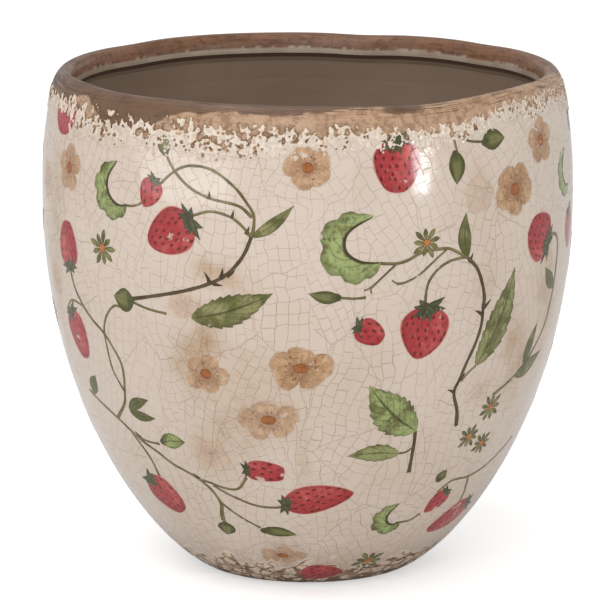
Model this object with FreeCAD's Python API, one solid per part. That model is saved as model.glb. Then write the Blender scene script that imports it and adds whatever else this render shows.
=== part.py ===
import FreeCAD, Part
import math
import os

# A round-bellied ceramic flower pot: one fired clay body and the four glaze coats on it.
# Lengths are in millimetres. The pot stands on the plane z = 0, with its axis along Z.
# Angles are in degrees round the axis, counted from +X towards +Y; the front looks to -Y.

# Overall size of the glazed pot
belly_diameter = 210.0
total_height = 200.0

# Clay wall, foot and floor
foot_diameter = 75.0
foot_ring_width = 8.0
foot_recess_depth = 2.0
belly_height = 148.0
belly_swell_power = 0.695
shoulder_draw_in = 3.2
shoulder_power = 2.4
wall_thickness = 5.5
floor_thickness = 8.0

# Heavy rolled lip on top of the wall
lip_height = 12.0
lip_thickness = 7.9

# Glaze coats
glaze_thickness = 0.8
liner_thickness = 0.5
bare_foot_height = 2.2
foot_band_height = 7.8
rim_band_below_lip = 4.0

# The lip rises and dips by hand: slow waves round it, and places pressed in by a thumb
wave_fade_height = 45.0
slow_wave_height = 0.30
thumb_dip_depth = 0.90
slow_wave_turns = (2, 3, 5)
slow_wave_starts = (0.0, -65.0, -118.0)
slow_wave_shares = (1.0, 0.8, 0.6)
thumb_dip_angles = (41.0, 76.0, 139.0, 178.0, 222.0, 296.0, 341.0)
thumb_dip_widths = (8.0, 8.0, 8.0, 11.0, 9.0, 13.0, 9.0)
thumb_dip_shares = (0.5, 0.7, 0.5, 0.6, 0.4, 1.0, 0.5)

# The lip's outline over the wall's top: share of its thickness inwards, share of its height
lip_outline_shares = (
    (0.07, 0.27),
    (0.15, 0.50),
    (0.26, 0.72),
    (0.40, 0.89),
    (0.60, 1.00),
    (0.80, 0.93),
    (0.93, 0.78),
    (1.00, 0.58),
    (1.00, 0.36),
    (0.93, 0.19),
    (0.80, 0.08),
)
brown_lip_points = 8

# How finely the curves are drawn: points on each stretch of wall, from the foot to the lip
bare_foot_steps = 2
foot_band_steps = 2
belly_steps = 12
shoulder_steps = 4
rim_band_steps = 1
poles_round = 72
degree = 3

# Sizes worked out from the ones above
clay_belly_radius = belly_diameter / 2 - glaze_thickness
foot_radius = foot_diameter / 2
recess_radius = foot_radius - foot_ring_width
lip_start_height = total_height - lip_height
clay_lip_height = lip_height - glaze_thickness
lip_start_radius = clay_belly_radius - shoulder_draw_in
foot_band_top = bare_foot_height + foot_band_height
rim_band_bottom = lip_start_height - rim_band_below_lip
turn = 360.0


def wall_radius(height):
    """Outer radius of the clay wall at a height: a swelling belly, then a slight draw-in to the lip."""
    if height <= belly_height:
        below = 1 - height / belly_height
        swell = (1 - below ** 2) ** belly_swell_power
        return foot_radius + (clay_belly_radius - foot_radius) * swell
    above = (height - belly_height) / (lip_start_height - belly_height)
    return clay_belly_radius - shoulder_draw_in * above ** shoulder_power


def wall_heights():
    """Heights at which the wall is drawn, closer together near the foot, where it curves most."""
    stretches = (
        (0.0, bare_foot_height, bare_foot_steps),
        (bare_foot_height, foot_band_top, foot_band_steps),
        (foot_band_top, belly_height, belly_steps),
        (belly_height, rim_band_bottom, shoulder_steps),
        (rim_band_bottom, lip_start_height, rim_band_steps),
    )
    heights = [0.0]
    for bottom, top, steps in stretches:
        low = math.sqrt(bottom)
        rise = math.sqrt(top) - low
        heights += [(low + rise * step / steps) ** 2 for step in range(1, steps + 1)]
    return heights


def wall_depth(height):
    """Thickness of the clay at a height: the wall's own, growing to the floor's near the foot."""
    below = max(0.0, 1 - height / belly_height)
    return wall_thickness + (floor_thickness - wall_thickness) * below ** 2


def point(radius, height):
    return FreeCAD.Vector(radius, 0, height)


def lip_point(inward_share, height_share):
    return point(lip_start_radius - lip_thickness * inward_share,
                 lip_start_height + clay_lip_height * height_share)


def curve_through(points):
    """A smooth curve through points, and its parameter at each of them."""
    stations = [0.0]
    for here, there in zip(points, points[1:]):
        stations.append(stations[-1] + here.distanceToPoint(there))
    curve = Part.BSplineCurve()
    curve.interpolate(Points=points, Parameters=stations)
    return curve, stations


def stretch(curve, start, end):
    """The part of a curve between two of its parameters."""
    piece = curve.copy()
    piece.segment(start, end)
    return piece


def outward(curve, station):
    """The direction that points out of the clay, square to its outline."""
    along = curve.tangent(station)[0]
    return FreeCAD.Vector(along.z, 0, -along.x)


def offset_curve(curve, stations, thickness):
    """A curve that runs beside an outline, a coat's thickness outside it."""
    points = [curve.value(station) + outward(curve, station) * thickness for station in stations]
    return curve_through(points)[0]


def line(start, end):
    """A straight stretch, held as a spline so that it sweeps like the curves do."""
    straight = Part.BSplineCurve()
    straight.buildFromPolesMultsKnots([start, end], [2, 2], [0.0, 1.0], False, 1)
    return straight


def rim_wave(angle):
    """How far the lip's top stands above or below its mean height, round the pot."""
    rise = 0.0
    for turns, start, share in zip(slow_wave_turns, slow_wave_starts, slow_wave_shares):
        rise += slow_wave_height * share * math.cos(math.radians(turns * angle - start))
    for place, width, share in zip(thumb_dip_angles, thumb_dip_widths, thumb_dip_shares):
        away = (angle - place + turn / 2) % turn - turn / 2
        rise -= thumb_dip_depth * share * math.exp(-(away / width) ** 2)
    return rise


def wave_weight(height):
    """The wave has its full height at the lip's top and dies away smoothly down the wall."""
    share = 1 - (total_height - height) / wave_fade_height
    share = min(1.0, max(0.0, share))
    return share * share * (3 - 2 * share)


def swept_face(curve):
    """The face that an outline stretch makes as it turns round the axis, with the lip's wave in it."""
    pole_factor = 3 / (2 + math.cos(2 * math.pi / poles_round))
    rows = []
    for index in range(poles_round):
        angle = turn * index / poles_round
        rise = rim_wave(angle)
        row = []
        for pole in curve.getPoles():
            radius = pole.x * pole_factor
            row.append(FreeCAD.Vector(radius * math.cos(math.radians(angle)),
                                      radius * math.sin(math.radians(angle)),
                                      pole.z + rise * wave_weight(pole.z)))
        rows.append(row)
    surface = Part.BSplineSurface()
    surface.buildFromPolesMultsKnots(
        rows,
        [1] * (poles_round + 1),
        curve.getMultiplicities(),
        [float(knot) for knot in range(poles_round + 1)],
        curve.getKnots(),
        True,
        False,
        degree,
        curve.Degree,
    )
    return surface.toShape()


def ring_edge(radius, height):
    """The closed edge that a point of the outline makes round the axis, as swept_face draws it."""
    pole_factor = 3 / (2 + math.cos(2 * math.pi / poles_round))
    poles = []
    for index in range(poles_round):
        angle = 2 * math.pi * index / poles_round
        poles.append(FreeCAD.Vector(radius * pole_factor * math.cos(angle),
                                    radius * pole_factor * math.sin(angle), height))
    edge = Part.BSplineCurve()
    edge.buildFromPolesMultsKnots(poles, [1] * (poles_round + 1),
                                  [float(knot) for knot in range(poles_round + 1)], True, degree)
    return edge.toShape()


def flat_face(height, outer_radius, inner_radius=0.0):
    """A flat disc, or a flat ring where an inner radius is given."""
    wires = [Part.Wire(ring_edge(outer_radius, height))]
    if inner_radius:
        wires.append(Part.Wire(ring_edge(inner_radius, height)))
    return Part.makeFace(wires, "Part::FaceMakerBullseye")


def solid_of(faces):
    """One closed solid from faces that meet edge to edge."""
    shell = Part.Shell(faces)
    solid = Part.Solid(shell)
    if solid.Volume < 0:
        solid.reverse()
    return solid


def coat(outline, stations, start, end, thickness):
    """A glaze coat on one stretch of the clay's outline, closed by a narrow ring at each end."""
    inside = stretch(outline, stations[start], stations[end])
    outside = offset_curve(outline, stations[start:end + 1], thickness)
    ends = [line(inside.StartPoint, outside.StartPoint), line(inside.EndPoint, outside.EndPoint)]
    return solid_of([swept_face(curve) for curve in [inside, outside] + ends])


# The clay's outline: up the outside from the foot, over the lip, and down the inside to the floor
heights = wall_heights()
outside_points = [point(wall_radius(height), height) for height in heights]
lip_points = [lip_point(inward, up) for inward, up in lip_outline_shares]
outer_curve, outer_stations = curve_through(outside_points)
inside_points = []
for height, station in list(zip(heights, outer_stations))[:-1]:
    inside_points.insert(0, outer_curve.value(station) - outward(outer_curve, station) * wall_depth(height))

outline_points = outside_points + lip_points + inside_points
outline, stations = curve_through(outline_points)
last = len(outline_points) - 1
foot_band_start = bare_foot_steps
cream_start = foot_band_start + foot_band_steps
rim_start = cream_start + belly_steps + shoulder_steps
rim_end = len(outside_points) + brown_lip_points

floor_radius = outline_points[last].x
floor_height = outline_points[last].z

clay_faces = [
    flat_face(foot_recess_depth, recess_radius),
    swept_face(line(point(recess_radius, foot_recess_depth), point(recess_radius, 0))),
    flat_face(0, foot_radius, recess_radius),
    flat_face(floor_height, floor_radius),
]
marks = [0, foot_band_start, cream_start, rim_start, rim_end, last]
for start, end in zip(marks, marks[1:]):
    clay_faces.append(swept_face(stretch(outline, stations[start], stations[end])))

liner_clay_side = stretch(outline, stations[rim_end], stations[last])
liner_open_side = offset_curve(outline, stations[rim_end:], liner_thickness)
liner_floor = liner_open_side.EndPoint
liner_faces = [
    swept_face(liner_clay_side),
    swept_face(liner_open_side),
    swept_face(line(liner_clay_side.StartPoint, liner_open_side.StartPoint)),
    flat_face(floor_height, floor_radius),
    flat_face(liner_floor.z, liner_floor.x),
]

pieces = {
    "clay_body": solid_of(clay_faces),
    "foot_glaze_band": coat(outline, stations, foot_band_start, cream_start, glaze_thickness),
    "cream_glaze_coat": coat(outline, stations, cream_start, rim_start, glaze_thickness),
    "rim_glaze_band": coat(outline, stations, rim_start, rim_end, glaze_thickness),
    "inner_glaze_liner": solid_of(liner_faces),
}

os.makedirs("parts", exist_ok=True)
for name, shape in pieces.items():
    box = shape.BoundBox
    print(name, "valid", shape.isValid(), "solids", len(shape.Solids), "volume", round(shape.Volume),
          "x", round(box.XMin, 2), round(box.XMax, 2), "z", round(box.ZMin, 2), round(box.ZMax, 2))
    shape.exportStep("parts/" + name + ".step")
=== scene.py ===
import math

import bmesh
import bpy
import numpy as np
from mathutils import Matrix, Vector, noise


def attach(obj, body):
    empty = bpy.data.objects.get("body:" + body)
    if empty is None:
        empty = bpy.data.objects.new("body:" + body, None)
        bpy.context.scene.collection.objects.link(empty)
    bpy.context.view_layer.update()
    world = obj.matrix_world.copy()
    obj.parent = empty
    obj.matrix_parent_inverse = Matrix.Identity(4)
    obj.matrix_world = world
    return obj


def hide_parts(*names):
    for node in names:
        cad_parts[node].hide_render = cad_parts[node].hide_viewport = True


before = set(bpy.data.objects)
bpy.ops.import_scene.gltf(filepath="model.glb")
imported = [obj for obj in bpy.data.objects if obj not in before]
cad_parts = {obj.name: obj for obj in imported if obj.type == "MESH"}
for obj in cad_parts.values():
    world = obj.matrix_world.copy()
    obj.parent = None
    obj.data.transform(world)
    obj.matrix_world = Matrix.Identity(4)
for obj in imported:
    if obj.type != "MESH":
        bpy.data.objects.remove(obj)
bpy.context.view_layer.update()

# A crackle-glazed flower pot with strawberry transfers, dressed over its fired clay body.
# Lengths are in metres. Angles round the pot are in degrees from the front, growing to the right.

mm = 0.001

# The clay pot under the glaze, as the CAD model draws it
belly_radius = 104.2 * mm
foot_radius = 37.5 * mm
bare_foot_height = 2.2 * mm
belly_height = 148 * mm
belly_swell_power = 0.695
shoulder_draw_in = 3.2 * mm
shoulder_power = 2.4
lip_start_height = 188 * mm
lip_height = 11.2 * mm
lip_thickness = 7.9 * mm
wall_thickness = 5.5 * mm
floor_thickness = 8 * mm
total_height = 200 * mm
lip_outline_shares = (
    (0.07, 0.27), (0.15, 0.50), (0.26, 0.72), (0.40, 0.89), (0.60, 1.00), (0.80, 0.93),
    (0.93, 0.78), (1.00, 0.58), (1.00, 0.36), (0.93, 0.19), (0.80, 0.08),
)
brown_lip_points = 8

# The lip's hand-pressed waves, as the CAD model draws them; these angles count from +X
wave_fade_height = 45 * mm
slow_wave_height = 0.30 * mm
thumb_dip_depth = 0.90 * mm
slow_waves = ((2, 0, 1.0), (3, -65, 0.8), (5, -118, 0.6))
thumb_dips = ((41, 8, 0.5), (76, 8, 0.7), (139, 8, 0.5), (178, 11, 0.6), (222, 9, 0.4),
              (296, 13, 1.0), (341, 9, 0.5))

# Glaze coats
glaze_thickness = 0.8 * mm
liner_thickness = 0.5 * mm
foot_piece_top = 24 * mm
rim_piece_bottom = 174 * mm

# Flaked edges of the cream glaze: how proud the cream stands over the brown ground
flake_lift = 0.34 * mm
ground_lift = 0.10 * mm

# How bright the studio makes a matte colour, and the faint veil of reflected room that lies over all
light_level = 1.24
gloss_veil = 0.014


def paint(red, green, blue):
    """A colour given as it looks on the lit pot, 0 to 255, as the linear colour that a shader takes."""
    channels = []
    for level in (red, green, blue):
        share = level / 255
        linear = share / 12.92 if share <= 0.04045 else ((share + 0.055) / 1.055) ** 2.4
        channels.append(max(0.002, (linear - gloss_veil) / light_level))
    return (*channels, 1)


# Glaze and clay colours
cream = paint(213, 197, 183)
cream_shade = paint(199, 178, 157)
crack_line = paint(150, 127, 105)
crackle_stain = paint(176, 146, 112)
crack_brown = paint(122, 92, 66)
rim_tan = paint(185, 152, 124)
rim_tan_deep = paint(144, 110, 82)
rim_brown = paint(114, 86, 66)
rim_umber = paint(68, 50, 40)
rim_red = paint(138, 96, 70)
rim_rust = paint(98, 66, 48)
# Grey of the brush streaks inside the pot, and of the painted sheen on the lip's top
rim_grey = paint(126, 108, 94)
# Dark brown of the pits, and of the painted shade beside the raised flakes
pit_brown = paint(84, 56, 38)
thin_cream = paint(206, 176, 140)
# Painted highlight on the tops of the raised cream flakes
flake_highlight_colour = paint(236, 222, 206)
taupe = paint(164, 143, 125)
taupe_dark = paint(152, 131, 113)
lip_taupe = paint(188, 172, 154)
bare_clay = paint(186, 160, 132)
bare_clay_dark = paint(150, 122, 98)


def turned(degrees):
    """An angle from the front, in degrees, as the turn about +Z that it makes from +X, in radians."""
    return math.radians(degrees - 90)


def clay_radius(height):
    """Outer radius of the clay wall at a height."""
    below = np.clip(1 - height / belly_height, 0, 1)
    above = np.clip((height - belly_height) / (lip_start_height - belly_height), 0, 1)
    swell = (1 - below ** 2) ** belly_swell_power
    return foot_radius + (belly_radius - foot_radius) * swell - shoulder_draw_in * above ** shoulder_power


def smooth_through(points, steps):
    """A smooth line through points, with a number of steps between each two of them."""
    points = np.array(points, float)
    padded = np.vstack([2 * points[0] - points[1], points, 2 * points[-1] - points[-2]])
    line = []
    for before, here, there, after in zip(padded, padded[1:], padded[2:], padded[3:]):
        reach = np.linalg.norm(there - here)
        start = (there - before) / max(np.linalg.norm(there - before), 1e-9) * reach
        end = (after - here) / max(np.linalg.norm(after - here), 1e-9) * reach
        for step in range(steps):
            t = step / steps
            line.append((2 * t**3 - 3 * t**2 + 1) * here + (t**3 - 2 * t**2 + t) * start
                        + (3 * t**2 - 2 * t**3) * there + (t**3 - t**2) * end)
    line.append(points[-1])
    return np.array(line)


def run_along(line):
    """How far along a line each of its points lies."""
    return np.concatenate([[0], np.cumsum(np.linalg.norm(np.diff(line, axis=0), axis=1))])


def outward(line):
    """The direction square to a line at each of its points, on its right hand."""
    along = np.gradient(line, axis=0)
    along /= np.linalg.norm(along, axis=1)[:, None]
    return np.stack([along[:, 1], -along[:, 0]], axis=1)


# How finely the wall, the lip and the floor are drawn, and how many points back the lip's bend starts
wall_points = 160
lip_steps = 10
lip_lead = 8
floor_points = 14

# The clay's outline: up the outside from the foot, over the lip, down the inside and across the floor
root_heights = np.linspace(0, math.sqrt(lip_start_height), wall_points)
outer_wall = np.stack([clay_radius(root_heights ** 2), root_heights ** 2], axis=1)
depth_below = np.clip(1 - outer_wall[:, 1] / belly_height, 0, 1)
wall_depths = wall_thickness + (floor_thickness - wall_thickness) * depth_below ** 2
inner_wall = (outer_wall - outward(outer_wall) * wall_depths[:, None])[::-1]
lip_points = [(outer_wall[-1, 0] - lip_thickness * inward, lip_start_height + lip_height * up)
              for inward, up in lip_outline_shares]
lip_bend = [outer_wall[-lip_lead], outer_wall[-1], *lip_points, inner_wall[0], inner_wall[lip_lead]]
lip_line = smooth_through(lip_bend, lip_steps)
floor_line = inner_wall[-1] * np.linspace((1, 1), (0, 1), floor_points)[1:]
clay_line = np.vstack([outer_wall[:-1], lip_line[lip_steps:-lip_steps], inner_wall[1:], floor_line])
clay_run = run_along(clay_line)
clay_out = outward(clay_line)
glaze_line = clay_line + clay_out * glaze_thickness

# Stations: distances along the clay's outline from the foot, at the marks where coats begin and end
brown_end_station = clay_run[len(outer_wall) - 1 + (brown_lip_points + 1) * lip_steps]
crest_station = clay_run[np.argmax(clay_line[:, 1])]
outer_side = clay_run <= crest_station


def station_at(height):
    """The station on the outside of the pot where the glaze reaches a height."""
    return np.interp(height, glaze_line[outer_side, 1], clay_run[outer_side])


def rim_wave(angle):
    """How far the lip stands above or below its mean height, at an angle from +X in radians."""
    degrees = np.degrees(angle)
    rise = 0
    for turns, start, share in slow_waves:
        rise = rise + slow_wave_height * share * np.cos(np.radians(turns * degrees - start))
    for place, width, share in thumb_dips:
        away = (degrees - place + 180) % 360 - 180
        rise = rise - thumb_dip_depth * share * np.exp(-(away / width) ** 2)
    return rise


def on_pot(station, angle, proud):
    """Points at stations of the outline and angles from +X, standing proud of the clay."""
    radius = np.interp(station, clay_run, clay_line[:, 0])
    height = np.interp(station, clay_run, clay_line[:, 1])
    radius = radius + proud * np.interp(station, clay_run, clay_out[:, 0])
    height = height + proud * np.interp(station, clay_run, clay_out[:, 1])
    share = np.clip(1 - (total_height - height) / wave_fade_height, 0, 1)
    height = height + rim_wave(angle) * share * share * (3 - 2 * share)
    return np.stack([radius * np.cos(angle), radius * np.sin(angle), height], axis=-1)


# Mesh helpers
coat_seam = 0.002 * mm


def finished_piece(name, mesh, material, sharp_degrees):
    """A mesh as a named piece of the pot, smooth but for its sharp edges."""
    mesh.name = name
    mesh.polygons.foreach_set("use_smooth", np.ones(len(mesh.polygons), bool))
    mesh.set_sharp_from_angle(angle=math.radians(sharp_degrees))
    mesh.materials.append(material)
    piece = bpy.data.objects.new(name, mesh)
    bpy.context.scene.collection.objects.link(piece)
    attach(piece, "root")
    return piece


def points_of(mesh):
    """Where the points of a mesh lie, a row for each."""
    places = np.empty(len(mesh.vertices) * 3, np.float32)
    mesh.vertices.foreach_get("co", places)
    return places.reshape(-1, 3).astype(float)


def keep_values(mesh, **values):
    """Keeps values for the points of a mesh, each under a name that its material reads."""
    for name, value in values.items():
        layer = mesh.attributes.get(name) or mesh.attributes.new(name, "FLOAT", "POINT")
        layer.data.foreach_set("value", np.full(len(mesh.vertices), value, np.float32))


def read_values(mesh, name):
    """The values kept for the points of a mesh under a name."""
    values = np.empty(len(mesh.vertices), np.float32)
    mesh.attributes[name].data.foreach_get("value", values)
    return values.astype(float)


def rolled_coat(outline, segments, closed=True):
    """A coat of glaze: a grid whose rows follow the pot's outline, rolled up round the axis and sewn.
    Each point of the outline is its station and its height over the clay, as a share of the coat's."""
    rows = len(outline) if closed else len(outline) - 1
    bm = bmesh.new()
    bmesh.ops.create_grid(bm, x_segments=segments, y_segments=rows, size=0.5)
    mesh = bpy.data.meshes.new("coat")
    bm.to_mesh(mesh)
    bm.free()
    flat = points_of(mesh)
    row = np.rint((flat[:, 1] + 0.5) * rows).astype(int) % len(outline)
    station, skin = np.array(outline)[row].T
    keep_values(mesh, station=station, skin=skin)
    angle = 2 * math.pi * (flat[:, 0] + 0.5) + math.pi / 2
    mesh.vertices.foreach_set("co", on_pot(station, angle, skin * glaze_thickness).ravel())
    bm = bmesh.new()
    bm.from_mesh(mesh)
    bmesh.ops.remove_doubles(bm, verts=bm.verts, dist=coat_seam)
    bmesh.ops.recalc_face_normals(bm, faces=bm.faces)
    bm.to_mesh(mesh)
    bm.free()
    return mesh


def coat_outline(front_stations, back_step):
    """The outline of a coat: along its skin, and back along the clay in longer steps."""
    front = [(station, 1) for station in front_stations]
    back = [(station, 0) for station in front_stations[::back_step]]
    if back[-1][0] != front_stations[-1]:
        back.append((front_stations[-1], 0))
    return front + back[::-1]


def place_coat(mesh, thickness, relief=0):
    """Puts a coat's points on the pot, with the lip's wave and any relief on the skin."""
    places = points_of(mesh)
    angle = np.arctan2(places[:, 1], places[:, 0])
    proud = read_values(mesh, "skin") * (thickness + relief)
    mesh.vertices.foreach_set("co", on_pot(read_values(mesh, "station"), angle, proud).ravel())
    mesh.update()


def noise_shift(seed):
    """Where in the endless noise field a seed's own noise lies."""
    return Vector((seed * 3.17, seed * 1.31, seed * 5.73))


def grain(places, size, seed):
    """Smooth noise of about -1 to 1 at places, in lumps of a size."""
    shift = noise_shift(seed)
    return np.array([noise.noise(Vector(place) + shift) for place in places / size])


def from_lumps(places, size, seed):
    """How far each place lies from the middles of its nearest lump and of the next one, in lumps."""
    shift = noise_shift(seed)
    return np.array([noise.voronoi(Vector(place) + shift)[0][:2] for place in places / size]).T


def ease(value, low, high):
    """0 below low, 1 above high, and a smooth step between."""
    share = np.clip((value - low) / (high - low), 0, 1)
    return share * share * (3 - 2 * share)


def front_degrees(places):
    """The angle of each place from the front, -180 to 180, growing to the right."""
    return np.degrees(np.arctan2(places[:, 0], -places[:, 1]))


def bumps(degrees, *places):
    """A sum of soft bumps round the pot, each at an angle, with a width and a height."""
    total = 0
    for at, width, height in places:
        away = (degrees - at + 180) % 360 - 180
        total = total + height * np.exp(-(away / width) ** 2)
    return total


# Shader helpers
class Web:
    """A node tree, with short ways to add its nodes and join them."""

    given = None

    def __init__(self, tree):
        self.tree = tree

    def wire(self, node, sockets):
        """Joins a node's inputs to other sockets, or sets them where a plain value is given."""
        for key, value in sockets.items():
            if isinstance(value, bpy.types.NodeSocket):
                self.tree.links.new(value, node.inputs[key])
            else:
                node.inputs[key].default_value = value

    def add(self, kind, sockets=None, **settings):
        """A new node of a kind, with its inputs and its settings."""
        made = self.tree.nodes.new(kind)
        for name, value in settings.items():
            setattr(made, name, value)
        self.wire(made, sockets or {})
        return made

    def group(self, tree, sockets=None):
        """A shader group placed in this tree: its outputs."""
        return self.add("ShaderNodeGroup", sockets, node_tree=tree).outputs

    def maths(self, operation, *values, clamp=False):
        """The result of an operation on values, each of them a plain number or a socket."""
        sockets = dict(enumerate(values))
        return self.add("ShaderNodeMath", sockets, operation=operation, use_clamp=clamp).outputs[0]

    def plus(self, first, second):
        return self.maths("ADD", first, second)

    def minus(self, first, second, clamp=False):
        return self.maths("SUBTRACT", first, second, clamp=clamp)

    def times(self, first, second, clamp=False):
        return self.maths("MULTIPLY", first, second, clamp=clamp)

    def times_plus(self, first, second, added):
        return self.maths("MULTIPLY_ADD", first, second, added)

    def over(self, first, second):
        return self.maths("DIVIDE", first, second)

    def larger(self, first, second):
        return self.maths("MAXIMUM", first, second)

    def floor(self, value):
        return self.maths("FLOOR", value)

    def length(self, x, y):
        return self.maths("SQRT", self.plus(self.times(x, x), self.times(y, y)))

    def front_angle(self, x, y):
        """The angle of a place from the front of the pot, in radians, growing to the right."""
        return self.maths("ARCTAN2", x, self.times(y, -1.0))

    def mix(self, share, first, second):
        """One colour, with a share of another over it."""
        return self.add("ShaderNodeMix", {0: share, 6: first, 7: second}, data_type="RGBA").outputs[2]

    def step(self, value, low, high, to_low=0.0, to_high=1.0):
        """A smooth step from one value to another, as a socket climbs from low to high."""
        sockets = {0: value, 1: low, 2: high, 3: to_low, 4: to_high}
        return self.add("ShaderNodeMapRange", sockets, interpolation_type="SMOOTHSTEP").outputs[0]

    def clouds(self, where, scale, detail=2.0, roughness=0.5):
        """Smooth noise from 0 to 1, in lumps of about one over its scale, in metres."""
        sockets = {"Vector": where, "Scale": scale, "Detail": detail, "Roughness": roughness}
        return self.add("ShaderNodeTexNoise", sockets).outputs["Fac"]

    def value(self, name):
        """The value that a mesh keeps at its points under a name."""
        return self.add("ShaderNodeAttribute", attribute_name=name).outputs["Fac"]

    def place(self):
        return self.add("ShaderNodeTexCoord").outputs["Object"]

    def vector(self, x, y, z=0.0):
        return self.add("ShaderNodeCombineXYZ", {0: x, 1: y, 2: z}).outputs[0]

    def parts(self, vector):
        return self.add("ShaderNodeSeparateXYZ", {0: vector}).outputs

    def vector_maths(self, operation, first, second):
        """Two vectors taken together, or one of them scaled by a number."""
        second_socket = 3 if operation == "SCALE" else 1
        sockets = {0: first, second_socket: second}
        return self.add("ShaderNodeVectorMath", sockets, operation=operation).outputs[0]

    def chance(self, x, y, z):
        """A random value and colour for each three numbers."""
        return self.add("ShaderNodeTexWhiteNoise", {"Vector": self.vector(x, y, z)}).outputs


def new_group(name, inputs, outputs):
    """A new shader node group with named sockets: its tree as a Web, and its output node."""
    tree = bpy.data.node_groups.new(name, "ShaderNodeTree")
    for socket, kind, default in inputs:
        made = tree.interface.new_socket(socket, in_out="INPUT", socket_type="NodeSocket" + kind)
        made.default_value = default
    for socket, kind in outputs:
        tree.interface.new_socket(socket, in_out="OUTPUT", socket_type="NodeSocket" + kind)
    web = Web(tree)
    web.given = web.add("NodeGroupInput").outputs
    return web, web.add("NodeGroupOutput")


def new_material(name):
    """A new material, its tree as a Web, and its Principled shader."""
    material = bpy.data.materials.new(name)
    material.use_nodes = True
    shader = material.node_tree.nodes["Principled BSDF"]
    return material, Web(material.node_tree), shader


# Crackle: long cracks in gores round the pot, a net of cells between them, and how far both wander
gore_angle = math.radians(30)
long_crack_spacing = (24 * mm, 33 * mm)
long_crack_strength = 0.75
cell_width = 4.1 * mm
cell_height = 4.9 * mm
cell_lean = 1.1
upright_run = 1.7 * cell_height
net_strength = 0.85
missing_uprights = 0.05
missing_levels = 0.1
crack_width = 0.25 * mm
slow_bend = (38.0, 8.0 * mm)
quick_bend = (130.0, 3.3 * mm)


def make_crackle_group():
    """Fine cracks in a glaze: long cracks that wander, and between them a net of small, nearly square cells.
    It runs in gores round the pot, so that the cells keep their size from the foot to the lip."""
    web, result = new_group("crackle", [], [("Line", "Float"), ("Cell", "Float")])
    place = web.place()
    x, y = web.parts(place)[:2]
    angle = web.front_angle(x, y)
    turns = web.over(angle, gore_angle)
    waver = web.minus(web.clouds(place, 22.0, 3.0), 0.5)
    gore = web.floor(web.times_plus(waver, 0.5, turns))
    middle = web.times(web.plus(gore, 0.5), gore_angle)
    across = web.times(web.minus(angle, middle), web.length(x, y))
    flat = web.vector(across, web.value("station"))
    for scale, reach in (slow_bend, quick_bend):
        drift = web.add("ShaderNodeTexNoise", {"Vector": place, "Scale": scale, "Detail": 1.0})
        drift = web.vector_maths("SUBTRACT", drift.outputs["Color"], (0.5, 0.5, 0.5))
        flat = web.vector_maths("ADD", flat, web.vector_maths("SCALE", drift, reach))

    # Long cracks, each gore with its own
    field = web.vector_maths("MULTIPLY", flat, (1 / long_crack_spacing[0], 1 / long_crack_spacing[1], 1))
    shift = web.vector(web.times(gore, 17.3), web.times(gore, 5.9))
    field = web.vector_maths("ADD", field, shift)

    def long_cells(feature):
        sockets = {"Vector": field, "Scale": 1.0}
        return web.add("ShaderNodeTexVoronoi", sockets, voronoi_dimensions="2D", feature=feature).outputs

    from_long = web.times(long_cells("DISTANCE_TO_EDGE")["Distance"], long_crack_spacing[0])
    lean, slide, pick = web.parts(long_cells("F1")["Color"])

    # The net between them: columns of cells that lean one way in each long cell, with staggered rows
    turn = web.times(web.minus(lean, 0.5), cell_lean)
    leaning = web.add("ShaderNodeVectorRotate", {"Vector": flat, "Angle": turn}, rotation_type="Z_AXIS")
    u, v = web.parts(leaning.outputs[0])[:2]
    column_at = web.times_plus(slide, 31.0, web.over(u, cell_width))
    column = web.floor(column_at)
    stagger = web.add("ShaderNodeTexWhiteNoise", {"W": web.plus(column, pick)}, noise_dimensions="1D")
    row_at = web.plus(web.over(v, cell_height), stagger.outputs["Value"])
    row = web.floor(web.plus(row_at, 0.5))
    kept = web.chance(column, row, pick)["Value"]
    edge = web.floor(web.plus(column_at, 0.5))
    run = web.floor(web.over(v, upright_run))
    whole = web.chance(edge, run, slide)["Value"]

    def from_line(position, size):
        """How far a position lies from the nearest whole number, as a length."""
        middle_way = web.minus(web.maths("FRACT", position), 0.5)
        return web.times(web.minus(0.5, web.maths("ABSOLUTE", middle_way)), size)

    def drawn(distance, strength):
        """A crack of that strength where the distance is small."""
        return web.step(distance, crack_width * 0.25, crack_width * 0.6, strength, 0.0)

    upright = drawn(from_line(column_at, cell_width), net_strength)
    upright = web.times(upright, web.maths("GREATER_THAN", whole, missing_uprights))
    level = drawn(from_line(row_at, cell_height), net_strength)
    level = web.times(level, web.maths("GREATER_THAN", kept, missing_levels))
    fresh = web.step(web.clouds(place, 55.0, 2.0), 0.34, 0.58, 0.62, 1.0)
    net = web.times(web.larger(upright, level), fresh)
    web.wire(result, {"Line": web.larger(drawn(from_long, long_crack_strength), net), "Cell": kept})
    return web.tree


crackle = make_crackle_group()
surface_outputs = [("Color", "Color"), ("Roughness", "Float"), ("Height", "Float")]


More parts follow.
